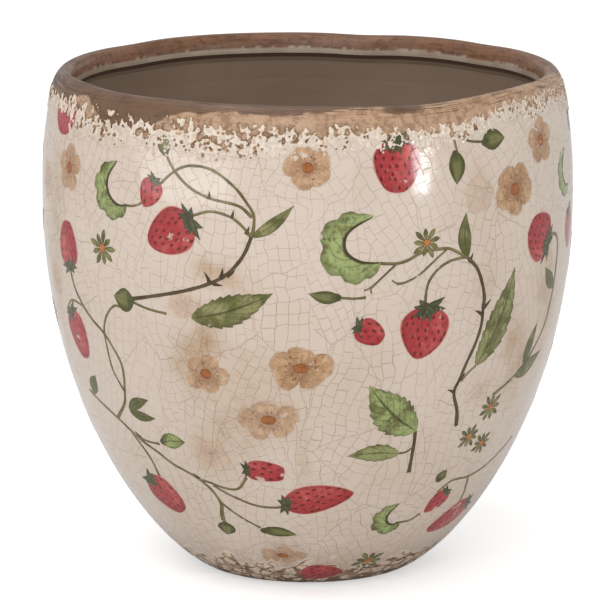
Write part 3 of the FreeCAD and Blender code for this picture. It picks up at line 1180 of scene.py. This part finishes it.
class Film:
    """One kind of print: sheets that each start as a grid and are laid on the pot, sewn into one piece.
    Each point keeps its place in its sheet: across from -1 to 1 and along from 0 to 1, with its reach
    both ways in metres, and the sheet's tone."""

    kept = ("station", "across", "along", "reach_across", "reach_along", "tone")

    def __init__(self, kind):
        self.kind = kind
        self.turn = 0
        self.laid = 0
        self.bm = bmesh.new()
        self.layers = [self.bm.verts.layers.float.new(name) for name in self.kept]

    def sheet(self, anchor, route, left, right, rows, columns, tone=0.5):
        """Lays a sheet along a route of local points, in metres to the right of and above its anchor.
        Left and right are its half widths along the route, as functions of the share of the way."""
        line = even_points(smooth_through(route, 8), rows + 1)
        along_line = np.gradient(line, axis=0)
        along_line /= np.maximum(np.linalg.norm(along_line, axis=1), 1e-9)[:, None]
        right_hand = np.stack([along_line[:, 1], -along_line[:, 0]], axis=1)
        made = bmesh.ops.create_grid(self.bm, x_segments=columns, y_segments=rows, size=0.5)["verts"]
        flat = np.array([point.co for point in made])
        across = flat[:, 0] * 2
        along = flat[:, 1] + 0.5
        row = np.rint(along * rows).astype(int)
        half = np.where(across > 0, right(along), left(along))
        local = line[row] + right_hand[row] * (across * half)[:, None]
        station = anchor_station(anchor) + local[:, 1]
        radius = np.interp(station, clay_run, glaze_line[:, 0])
        angle = turned(anchor[0] + self.turn) + local[:, 0] / radius
        places = on_pot(station, angle, glaze_thickness + lifts[self.kind] + self.laid % layers * layer_step)
        self.laid += 1
        length = run_along(line)[-1]
        values = zip(station, across, along, across * half, along * length, np.full(len(made), tone))
        for point, place, kept in zip(made, places, values):
            point.co = place
            for layer, value in zip(self.layers, kept):
                point[layer] = value

    def finish(self, name, material):
        """Sews the sheets' pointed ends, thickens them and makes them one piece of the pot."""
        bm = self.bm
        bmesh.ops.remove_doubles(bm, verts=bm.verts, dist=film_seam)
        bmesh.ops.dissolve_degenerate(bm, edges=bm.edges, dist=film_speck)
        bmesh.ops.solidify(bm, geom=bm.faces[:], thickness=film_thickness)
        mesh = bpy.data.meshes.new(name)
        bm.to_mesh(mesh)
        bm.free()
        finished_piece(name, mesh, material, 35)


def local_points(anchor, points):
    """Places on the pot, as degrees and heights in millimetres, as local points in metres."""
    found = []
    for degrees, height in points:
        station = station_at(height * mm)
        radius = np.interp(station, clay_run, glaze_line[:, 0])
        found.append((math.radians(degrees - anchor[0]) * radius, station - anchor_station(anchor)))
    return found


def headed(heading, *steps):
    """Local points, given in millimetres along a heading and to its left."""
    ahead = Vector((math.cos(math.radians(heading)), math.sin(math.radians(heading))))
    aside = Vector((-ahead.y, ahead.x))
    return [tuple((ahead * forward + aside * sideways) * mm) for forward, sideways in steps]


def hump(share, crest, start_power, end_power):
    """A smooth hump from 0 to 1 and back to 0, with its crest at a share of the way."""
    share = np.clip(share, 0, 1)
    rising = np.clip(1 - ((crest - share) / crest), 0, 1)
    falling = np.clip(1 - ((share - crest) / (1 - crest)), 0, 1)
    rise = np.sin(rising * math.pi / 2) ** start_power
    fall = np.sin(falling * math.pi / 2) ** end_power
    return np.where(share < crest, rise, fall)


def toothed(share, teeth, depth):
    """Teeth along an edge that point towards the tip."""
    saw = (share * teeth) % 1
    return 1 - depth * (1 - saw) * np.clip(share * 6, 0, 1)


def side_of(width, shape):
    """A sheet's half width along its route: half of a width in millimetres, times a shape."""
    return lambda share: width / 2 * mm * shape(share)


# Rows and columns of the grid that each printed shape starts as
berry_grid = (22, 14)
sepal_grid = (8, 4)
bud_grid = (14, 8)
bud_sepal_grid = (6, 4)
petal_grid = (14, 12)
heart_grid = (8, 8)
daisy_petal_grid = (8, 4)
daisy_heart_grid = (6, 6)
rows_per_tooth = 7
toothed_leaf_columns = 10
plain_leaf_grid = (16, 6)
curled_leaf_grid = (48, 12)
stem_row_length = 1.3 * mm
stem_columns = 2
thorn_grid = (6, 2)

# Sepals of a strawberry: the turn of each from the berry's heading, and how long it is for the berry's width
sepal_turns = (
    (-118, 0.36), (-84, 0.44), (-50, 0.42), (-16, 0.34), (20, 0.40), (56, 0.36), (88, 0.46), (124, 0.38),
)
bud_sepal_turns = (-40, 0, 40)
bud_sepal_reach = 2.6
blossom_petals = 5
strong_print = 0.7
daisy_petals = 9


def draw_berry(films, degrees, height, length, width, heading, crowned, tip=0.66):
    """A strawberry, fullest near its stalk, with a crown of sepals where it shows one."""
    anchor = (degrees, height)
    half = length / 2
    side = side_of(width, lambda share: hump(share, 0.35, 0.50, tip))
    tone = 0.5 + 0.4 * math.sin(degrees * 7 + height)
    route = headed(heading, (-half, 0), (0, 0.02 * length), (half, 0))
    films["berries"].sheet(anchor, route, side, side, *berry_grid, tone)
    if not crowned:
        return
    base = -half + 0.7
    side = side_of(max(1.2, 0.12 * width),
                   lambda share: hump(share, 0.35, 0.5, 1.0) + 0.6 * (1 - share) ** 4)
    for turn, share in sepal_turns:
        reach = max(3.0, 0.80 * share * width) * (1 + 0.2 * math.sin(turn * 3 + degrees))
        ahead = math.cos(math.radians(turn)) * reach
        aside = math.sin(math.radians(turn)) * reach
        route = headed(heading, (base, 0), (base + ahead * 0.55, aside * 0.6), (base + ahead - 0.4, aside))
        films["calyxes"].sheet(anchor, route, side, side, *sepal_grid, 0.5 + 0.3 * math.sin(turn))


def draw_bud(films, degrees, height, length, width, heading, tone=0.12):
    """A closed bud with three sepals at its stalk."""
    anchor = (degrees, height)
    half = length / 2
    side = side_of(width, lambda share: hump(share, 0.45, 0.6, 1.0))
    route = headed(heading, (-half, 0), (0, 0.04 * length), (half, 0))
    films["leaves"].sheet(anchor, route, side, side, *bud_grid, tone)
    side = side_of(1.1, lambda share: hump(share, 0.3, 0.5, 1.3))
    for turn in bud_sepal_turns:
        ahead = math.cos(math.radians(turn)) * bud_sepal_reach
        aside = math.sin(math.radians(turn)) * bud_sepal_reach
        route = headed(heading, (-half - 0.3, 0), (-half + ahead * 0.6, aside * 0.7), (-half + ahead, aside))
        films["calyxes"].sheet(anchor, route, side, side, *bud_sepal_grid, 0.3)


def draw_blossom(films, degrees, height, width, tall, turn, strength, fullness=0.84):
    """An open blossom of five petals, with a heart where it is strongly printed."""
    anchor = (degrees, height)
    tips = []
    for petal in range(blossom_petals):
        way = math.radians(turn + 360 * petal / blossom_petals + 5 * math.sin(petal * 2.3 + degrees))
        tips.append(Vector((math.cos(way) * width / 2, math.sin(way) * tall / 2)))
    for petal, tip in enumerate(tips):
        next_tip = tips[(petal + 1) % blossom_petals]
        between = ((tip - tips[petal - 1]).length + (tip - next_tip).length) / 2
        spread = fullness * between * (1 + 0.06 * math.sin(petal * 3.1 + height))
        ahead = tip * mm
        aside = Vector((-ahead.y, ahead.x)) * 0.05
        side = side_of(spread, lambda share: hump(share, 0.62, 0.5, 0.45))
        route = [tuple(ahead * 0.10), tuple(ahead * 0.55 + aside), tuple(ahead)]
        films["blossoms"].sheet(anchor, route, side, side, *petal_grid, strength)
    if strength > strong_print:
        side = side_of(0.24 * tall, lambda share: hump(share, 0.5, 0.5, 0.5))
        route = headed(0, (-0.12 * width, 0), (0, 0), (0.12 * width, 0))
        films["hearts"].sheet(anchor, route, side, side, *heart_grid, 0.8)


def draw_daisy(films, degrees, height, radius, turn):
    """A small star-shaped flower of nine narrow petals."""
    anchor = (degrees, height)
    for petal in range(daisy_petals):
        way = turn + 360 * petal / daisy_petals
        reach = radius * (1 + 0.12 * math.sin(petal * 2.9 + degrees))
        side = side_of(0.32 * radius, lambda share: hump(share, 0.62, 0.8, 0.9))
        route = headed(way, (0.14 * radius, 0), (0.6 * reach, 0.1), (reach, 0))
        tone = 0.5 + 0.4 * math.sin(petal * 1.7)
        films["daisies"].sheet(anchor, route, side, side, *daisy_petal_grid, tone)
    side = side_of(0.5 * radius, lambda share: hump(share, 0.5, 0.5, 0.5))
    route = headed(turn, (-0.25 * radius, 0), (0, 0), (0.25 * radius, 0))
    films["hearts"].sheet(anchor, route, side, side, *daisy_heart_grid, 0.5)


def draw_leaf(films, base, tip, width, bow, teeth, tone=0.4):
    """A leaf from its base to its tip, bowed to one side, with teeth along its edges or without."""
    tip_local = Vector(local_points(base, [tip])[0])
    aside = Vector((-tip_local.y, tip_local.x)).normalized() * bow * mm
    route = [(0, 0), tuple(tip_local * 0.35 + aside), tuple(tip_local * 0.7 + aside * 0.8), tuple(tip_local)]

    def shape(share):
        edge = toothed(share, teeth, 0.16) if teeth else 1
        return hump(share, 0.42, 0.7, 1.15) * edge

    side = side_of(width, shape)
    grid = (rows_per_tooth * teeth, toothed_leaf_columns) if teeth else plain_leaf_grid
    films["leaves"].sheet(base, route, side, side, *grid, tone)


def draw_curled_leaf(films, edge, reach):
    """A leaf curled away from its inner edge, with a lobed outer side."""
    anchor = edge[0]

    def outer(share):
        lobes = 1 + 0.10 * np.sin(share * 34) + 0.05 * np.sin(share * 71)
        return reach * mm * hump(share, 0.42, 0.5, 0.85) * lobes

    def inner(share):
        return 0.6 * mm * hump(share, 0.5, 0.4, 0.4)

    films["leaves"].sheet(anchor, local_points(anchor, edge), outer, inner, *curled_leaf_grid, 1.0)


# How much wider a stem is drawn than its width in the table, and from what width it is a brown one
stem_weight = 1.45
brown_stem_width = 1.12


def draw_stem(films, width, *points):
    """A stem through points of the pot, a little swollen at its end."""
    anchor = points[0]
    route = local_points(anchor, points)
    rows = max(6, int(run_along(np.array(route))[-1] / stem_row_length))

    def shape(share):
        return 0.78 + 0.10 * np.sin(share * rows * 0.55) ** 2 + 0.25 * np.exp(-((1 - share) / 0.08) ** 2)

    side = side_of(stem_weight * width, shape)
    tone = 0.8 if width > brown_stem_width else 0.4
    films["stems"].sheet(anchor, route, side, side, rows, stem_columns, tone)


def draw_thorn(films, degrees, height, heading, length):
    """A thorn or a small side shoot on a stem, pointed at its tip."""
    side = side_of(0.9 + 0.24 * length, lambda share: (1 - share) ** 0.8 + 0.04)
    route = headed(heading, (-0.5, 0), (length / 2, 0.1), (length, 0.5))
    films["stems"].sheet((degrees, height), route, side, side, *thorn_grid, 0.9)


# Where the prints lie on the front: degrees, then height in millimetres; then sizes in millimetres
front_berries = (
    # degrees, height, length, width, heading of the tip, whether its sepals show, how round the tip is
    (-66, 187, 15, 20, -90, 0, 0.5), (-34.5, 165.5, 12.5, 10.5, -115, 1),
    (-29.5, 151.5, 22, 18.5, -152, 1, 0.6), (-61.5, 138.5, 19, 15.5, 92, 1, 0.45),
    (-62, 102.5, 20.5, 15.5, -72, 1, 0.45), (-45.2, 40.2, 19.5, 17, -50, 1, 0.4),
    (-11, 57, 16, 10, -5, 1, 0.25), (3, 45, 28, 14.5, 12, 1, 0.7),
    (6, 8, 17, 13, 2, 0), (18.5, 178, 21, 19, -92, 1, 0.45),
    (25, 113, 21.5, 21, -99, 1, 0.66), (13, 114.5, 12.5, 10.5, -32, 1, 0.4),
    (58, 143.5, 18, 20, 145, 1, 0.45), (40.5, 38.5, 13, 9.5, -128, 1),
    (52, 28.5, 23, 14, -152, 1, 0.6), (76, 140, 16, 12, -85, 1),
)
front_buds = (
    # degrees, height, length, width, heading, how light it is
    (-42.3, 122.8, 10.5, 9.5, 175), (-26.5, 29, 7.5, 7.5, -100), (-35, 66, 12, 7, 8, 0.84),
    (-9, 29, 14, 5.5, -8), (32.3, 175.5, 13, 7.2, -90), (43, 183.5, 12, 8, 2),
    (3.5, 129.5, 12, 5, 172), (38.5, 50.5, 6, 5, 60), (-31.3, 184, 8, 5.5, 100),
)
front_blossoms = (
    # degrees, height, width, height of the flower, turn, how strong the print is, how full the petals are
    (-61, 168.5, 19, 19, 10, 0.9, 0.7), (-75, 160, 15, 16, 40, 0.6), (-71, 122, 13, 15, 0, 0.6),
    (0, 178, 19, 17, 25, 0.95), (-1.5, 101, 26, 17, 8, 1.0), (-22.7, 97, 20, 17, 62, 0.9, 0.68),
    (-9, 79.5, 26, 16, 20, 0.84, 0.78), (-24.5, 63.5, 15, 13, 30, 0.45), (-9, 17.5, 20, 11, 0, 0.8, 0.66),
    (59.5, 179.5, 19, 19, 15, 0.95, 0.7), (48.5, 163.5, 23, 20, 48, 1.0), (38, 164, 15, 15, 0, 0.35),
    (-27, 123.5, 12, 11, 30, 0.45),
)
front_daisies = (
    # degrees, height, radius, turn
    (-48, 141, 6.9, 0), (25, 148, 6.0, 15), (48.5, 77, 6.0, 5), (43.5, 66, 5.4, 25), (49.5, 61.5, 5.2, 10),
    (24, 13, 6.5, 0),
)
front_leaves = (
    # base, tip, width, bow to the left, teeth on each side, how light it is
    ((-25, 119), (-7, 130.5), 13, -1.5, 9, 0.55), ((-11.5, 151.5), (-2.7, 164), 4.6, -1.0, 0),
    ((-62, 78), (-58, 87), 6, 0.5, 0), ((-47, 76.5), (-39.5, 82.5), 4.8, 0.8, 0),
    ((-47, 76), (-38.5, 75), 4.4, -0.8, 0), ((35, 140.5), (34.5, 158), 6, 1.2, 0),
    ((40, 96.5), (49, 133.5), 14, -2.0, 9, 0.68),
    ((26.5, 72.5), (13.5, 93.5), 17, 1.5, 9, 0.85), ((23, 63.5), (9.5, 64), 8.5, -1.0, 6, 0.7),
    ((58, 91.5), (61, 107.5), 5.5, 0.6, 0), ((55, 87.5), (66.5, 94.5), 6.5, -0.8, 0),
    ((67.3, 120), (61.5, 129.5), 6, 0.8, 0),
)
front_curled_leaves = (
    # inner edge from the stalk to the tip, reach of the outer side
    (((-40.5, 159), (-43.5, 159.2), (-46, 163), (-46.3, 169), (-43.8, 175.5)), 7.5),
    (((15, 141.5), (10.5, 142.5), (7.6, 147), (8.2, 153.5), (13.5, 159.5)), 9.5),
    (((75, 158), (72.5, 158.5), (70.5, 163), (70.8, 168), (73, 173)), 5.5),
    (((29.5, 31.5), (26.5, 30.8), (24.2, 33.5), (24.6, 37), (27, 40.5)), 6.0),
)
front_stems = (
    # width, then the points
    (0.9, (-31, 181.5), (-30.3, 179), (-28.5, 174.5), (-25, 169), (-20.5, 165.5), (-14, 163), (-11.3, 159)),
    (0.9, (-32.8, 167.5), (-28.5, 174.5), (-25, 177), (-20, 176), (-15, 170), (-12.5, 164.5), (-11, 160),
     (-11, 155), (-11.5, 151.5)),
    (0.9, (-24, 158.5), (-20, 160.5), (-15.5, 158.5), (-12.5, 154), (-11.5, 151.5)),
    (1.15, (-11.5, 151.5), (-13, 145), (-15, 140), (-17, 136.5), (-20.5, 133), (-25, 130), (-30, 127.5),
     (-40.5, 123)),
    (0.8, (-40.5, 122.5), (-36, 120.5), (-31, 119.5)),
    (0.8, (-41.5, 159.3), (-39, 159.4), (-37, 160.6), (-35.6, 162.5)),
    (0.8, (-43, 119), (-45.5, 119), (-48.5, 114), (-50, 108), (-50, 101), (-49.5, 92), (-47, 84)),
    (1.0, (-61.5, 130), (-60, 122), (-57, 115.5), (-54, 111), (-50.5, 107), (-48, 102), (-46, 96), (-46, 90),
     (-47, 83.5), (-48, 79), (-53, 71)),
    (0.8, (-66, 111), (-62.5, 116), (-57, 115.5)),
    (1.1, (-64, 79), (-53, 71), (-46, 64), (-41, 60), (-37, 56), (-33, 53.5), (-30, 51), (-27, 47),
     (-25.2, 41), (-26, 36), (-26.3, 32.5)),
    (0.8, (-47, 65), (-43, 64), (-39.5, 64)),
    (1.0, (-49, 67), (-45, 57), (-44, 48.5)),
    (0.9, (-30, 51), (-26.5, 50), (-23, 48.5), (-19, 48.5), (-16, 54)),
    (0.9, (-26, 49), (-21, 45), (-14.5, 41.5), (-9, 41), (-6, 42)),
    (0.8, (-25.4, 42), (-22.5, 38), (-18.5, 34), (-14.5, 31)),
    (0.8, (32.2, 188), (32.6, 184), (33, 180)),
    (0.8, (33, 188), (36, 185), (40.5, 183.5)),
    (1.0, (14, 141.5), (18.5, 141), (21, 142), (24, 144.5), (30, 145), (32.5, 143), (35, 140.5)),
    (0.7, (18.5, 141), (16, 137), (13, 132)),
    (0.7, (30, 145), (27, 141), (23.5, 136), (20.5, 133.5), (18.5, 133)),
    (0.8, (6.2, 128.9), (9.5, 128.3), (12, 128.6)),
    (0.9, (25, 123), (25.5, 132), (27.5, 137), (30.5, 140), (34.5, 141)),
    (1.2, (35, 140.5), (37.5, 136), (39, 130.5), (40, 124.5), (40, 119), (40, 113), (39, 106), (37, 97.5),
     (36, 92), (35, 87), (37, 79), (38, 72)),
    (0.8, (36.5, 91), (38, 94), (40, 96.5)),
    (1.1, (63.5, 142), (66, 141), (67.5, 137), (67.5, 122), (67, 115), (65.5, 105), (62.5, 98), (58, 90.5),
     (55, 87.5), (48, 82)),
    (1.2, (26, 75), (26.5, 69), (26.8, 60), (27, 54.5)),
    (0.7, (26.5, 66), (25, 64), (22, 63.5)),
    (0.9, (28, 31.3), (33, 31.6), (36, 34)),
    (0.9, (39, 43), (43, 47), (50, 47), (58, 50), (68, 58)),
    (0.9, (50, 47), (52, 40), (53, 33)),
    (0.55, (13.4, 132.8), (12.6, 131.9), (11.6, 131.2)),
    (0.55, (13.2, 132.4), (13, 131.4), (13.2, 130)),
    (0.55, (19, 133.1), (18.2, 133.6), (17.5, 134.6)),
)
front_thorns = (
    # degrees, height, heading, length
    (-16.5, 136.5, 30, 3.6), (-18, 135.5, 72, 4.0), (-20.5, 133.5, 112, 4.4), (-19.5, 133, -15, 3.4),
    (-12.5, 153, 60, 3.0), (40, 119.5, 35, 5.0), (40, 117, 145, 4.5), (40, 121, 70, 4.0),
    (35.5, 139, 55, 3.5), (-20.5, 165.5, 80, 2.5), (-15.5, 159, 70, 2.5), (-30, 51.5, 130, 3.0),
    (-46, 65, 130, 3.5), (36, 92, 40, 3.5), (35, 87, 150, 3.5), (58, 88, 20, 3.5),
)


def side_spray(middle, rise):
    """The prints that fill a side between the front and its repeat on the back."""
    at = middle
    return {
        "berry": ((at - 2, 122 + rise, 19, 16, -84, 1), (at + 6, 58 - rise, 17, 11, -52, 1)),
        "bud": ((at - 8, 181, 9, 6, -95),),
        "blossom": ((at + 2, 165 - rise, 19, 18, 20, 0.9), (at - 5, 86 + rise, 20, 16, 35, 0.8),
                    (at + 2, 26, 15, 11, 0, 0.4)),
        "daisy": ((at + 9, 101 - rise, 5.5, 10), (at - 6, 44, 5.0, 0)),
        "leaf": (((at - 1, 141 + rise), (at + 9, 150 + rise), 9, -1.0, 7, 0.7),
                 ((at + 1, 62), (at - 9, 70), 8, 1.0, 6, 0.8)),
        "curled_leaf": (),
        "stem": ((1.0, (at - 2, 131 + rise), (at - 2, 138 + rise), (at, 143 + rise), (at - 4, 150 + rise)),
                 (1.0, (at + 3, 66 - rise), (at + 2, 72), (at - 3, 76), (at - 8, 84)),
                 (0.8, (at - 8, 185), (at - 8, 190))),
        "thorn": ((at, 143 + rise, 60, 4), (at + 2, 71, 40, 4)),
    }


front_spray = {
    "berry": front_berries, "bud": front_buds, "blossom": front_blossoms, "daisy": front_daisies,
    "leaf": front_leaves, "curled_leaf": front_curled_leaves, "stem": front_stems, "thorn": front_thorns,
}
drawings = {
    "berry": draw_berry, "bud": draw_bud, "blossom": draw_blossom, "daisy": draw_daisy,
    "leaf": draw_leaf, "curled_leaf": draw_curled_leaf, "stem": draw_stem, "thorn": draw_thorn,
}


def draw_prints():
    """The same transfers on the front and the back, with two narrower ones between them."""
    films = {kind: Film(kind) for kind in lifts}
    sprays = ((front_spray, 0), (front_spray, 180), (side_spray(90, 3), 0), (side_spray(-90, -4), 0))
    for spray, turn in sprays:
        for film in films.values():
            film.turn = turn
        for kind, rows in spray.items():
            for row in rows:
                drawings[kind](films, *row)
    films["stems"].finish("stem_prints", make_stem_print())
    films["leaves"].finish("leaf_prints", make_leaf_print())
    films["berries"].finish("strawberry_prints", make_berry_print())
    films["calyxes"].finish("calyx_prints", make_calyx_print())
    films["blossoms"].finish("blossom_prints", make_blossom_print())
    films["daisies"].finish("daisy_prints", make_daisy_print())
    films["hearts"].finish("flower_heart_prints", make_heart_print())


draw_prints()


# Camera
camera_place = (0, -1.522, 0.431)
camera_target = (0, 0, 0.100)
camera_lens = 234
camera_sensor = 36
camera_shift = (-0.0128, 0.0238)
nearest_seen = 0.01


def aim(thing, place, target):
    """Puts a camera or a lamp at a place and turns it to a target."""
    thing.location = place
    thing.rotation_euler = (Vector(target) - Vector(place)).to_track_quat("-Z", "Y").to_euler()


def add_camera():
    """The photo's own camera: a long lens, a little above the belly."""
    data = bpy.data.cameras.new("camera")
    data.lens = camera_lens
    data.sensor_width = camera_sensor
    data.shift_x, data.shift_y = camera_shift
    data.clip_start = nearest_seen
    camera = bpy.data.objects.new("camera", data)
    bpy.context.scene.collection.objects.link(camera)
    aim(camera, camera_place, camera_target)
    bpy.context.scene.camera = camera


# Floor and studio light
floor_width = 4.0
floor_grey = (0.72, 0.72, 0.72, 1)
floor_light_grey = (0.76, 0.76, 0.76, 1)
floor_glow = 0.5
white = (1, 1, 1, 1)
room_strength = 0.72
backdrop_strength = 1.0
softboxes = (
    # name, place, target, width, height, power in watts
    ("window", (-1.25, -0.95, 0.22), (0, 0, 0.17), 1.2, 0.42, 6),
    ("strip", (1.25, -1.135, 0.28), (0, 0, 0.17), 0.19, 0.38, 6),
    ("top_softbox", (-0.4, -0.4, 1.8), (0, 0, 0.1), 1.4, 1.4, 12),
    ("key_softbox", (-0.3, -2.1, 1.2), (0, 0, 0.1), 1.2, 1.2, 12),
)


def add_floor():
    """A white floor that glows a little, to the camera only."""
    bm = bmesh.new()
    bmesh.ops.create_grid(bm, x_segments=2, y_segments=2, size=floor_width / 2)
    mesh = bpy.data.meshes.new("floor")
    bm.to_mesh(mesh)
    bm.free()
    material, web, shader = new_material("floor_card")
    seen = web.add("ShaderNodeLightPath").outputs["Is Camera Ray"]
    web.wire(shader, {
        "Base Color": web.mix(web.clouds(web.place(), 3.0, 2.0), floor_grey, floor_light_grey),
        "Roughness": 0.9,
        "Emission Color": white,
        "Emission Strength": web.times(seen, floor_glow),
    })
    mesh.materials.append(material)
    floor = bpy.data.objects.new("floor", mesh)
    bpy.context.scene.collection.objects.link(floor)


def add_room_light():
    """A dim, even room, with a bright plain backdrop where the camera looks past the pot."""
    world = bpy.data.worlds.new("studio")
    world.use_nodes = True
    web = Web(world.node_tree)
    seen = web.add("ShaderNodeLightPath").outputs["Is Camera Ray"]
    level = web.times_plus(seen, backdrop_strength - room_strength, room_strength)
    web.wire(world.node_tree.nodes["Background"], {"Color": white, "Strength": level})
    bpy.context.scene.world = world


def add_softbox(name, place, target, width, height, power):
    """A large soft lamp that the camera doesn't see."""
    data = bpy.data.lights.new(name, "AREA")
    data.shape = "RECTANGLE"
    data.size = width
    data.size_y = height
    data.energy = power
    lamp = bpy.data.objects.new(name, data)
    bpy.context.scene.collection.objects.link(lamp)
    lamp.visible_camera = False
    aim(lamp, place, target)


add_camera()
add_floor()
add_room_light()
for softbox in softboxes:
    add_softbox(*softbox)
bpy.context.scene.view_settings.view_transform = "Standard"
